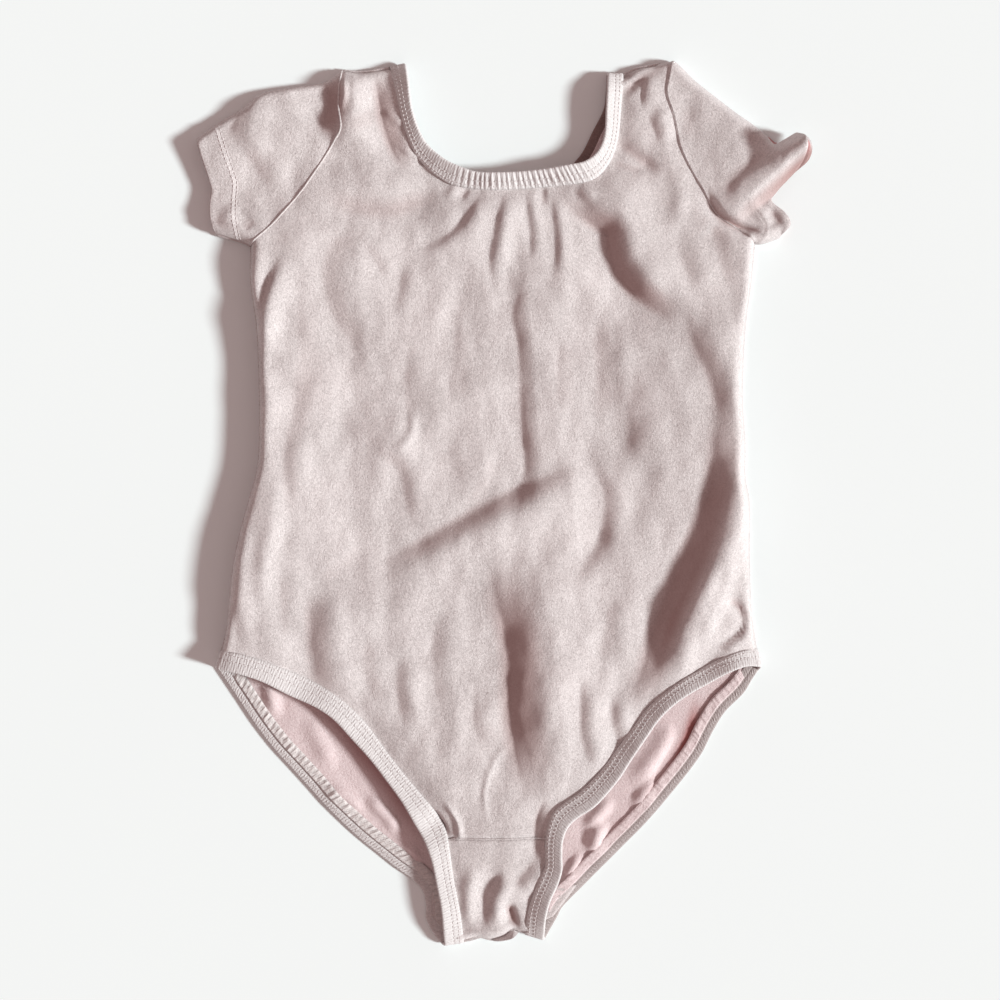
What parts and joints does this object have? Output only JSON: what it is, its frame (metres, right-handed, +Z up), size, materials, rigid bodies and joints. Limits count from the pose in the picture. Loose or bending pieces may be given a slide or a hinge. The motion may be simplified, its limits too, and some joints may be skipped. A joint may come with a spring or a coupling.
{
  "type": "gymnastics leotard",
  "caption": "Short-sleeved one-piece leotard in pale jersey, laid flat with its front up, with elastic bands at the neck and legs and sleeves that fold over.",
  "frame": {"origin": "middle of the footprint, on the surface that the garment lies on", "axes": "+Z up out of the surface it lies on and out of the front of the garment, +Y from the crotch towards the neck, +X towards the viewer's right, which is the wearer's left"},
  "size_m": [0.3462, 0.4988, 0.0266],
  "materials": {
    "jersey": "pale pink cotton and elastane jersey with a soft brushed face",
    "binding": "the same jersey, folded over elastic and puckered",
    "lining": "plain cotton jersey lining",
    "elastic": "matt woven elastic tape",
    "thread": "matt polyester sewing thread"
  },
  "bodies": {
    "torso": {"front_panel": "jersey", "back_panel": "jersey", "gusset": "jersey", "gusset_lining": "lining", "front_gusset_seam": "thread", "back_gusset_seam": "thread", "neck_binding": "binding", "neck_elastic": "elastic", "neck_stitching": "thread", "left_leg_binding": "binding", "left_leg_elastic": "elastic", "left_leg_stitching": "thread", "right_leg_binding": "binding", "right_leg_elastic": "elastic", "right_leg_stitching": "thread", "left_armhole_seam": "thread", "left_side_seam": "thread", "left_shoulder_seam": "thread", "right_armhole_seam": "thread", "right_side_seam": "thread", "right_shoulder_seam": "thread"},
    "left_sleeve": {"left_sleeve": "jersey", "left_sleeve_hem": "jersey", "left_hem_stitching": "thread", "left_underarm_seam": "thread"},
    "right_sleeve": {"right_sleeve": "jersey", "right_sleeve_hem": "jersey", "right_hem_stitching": "thread", "right_underarm_seam": "thread"}
  },
  "joints": [
    {"name": "left_sleeve_fold", "type": "hinge", "parent": "torso", "child": "left_sleeve", "pos_m": [-0.1075, 0.1922, 0.0142], "axis": [0.433, 0.9014, 0], "range_deg": [0, 160]},
    {"name": "right_sleeve_fold", "type": "hinge", "parent": "torso", "child": "right_sleeve", "pos_m": [0.1107, 0.1926, 0.0152], "axis": [0.4036, -0.9149, 0], "range_deg": [0, 160]}
  ]
}
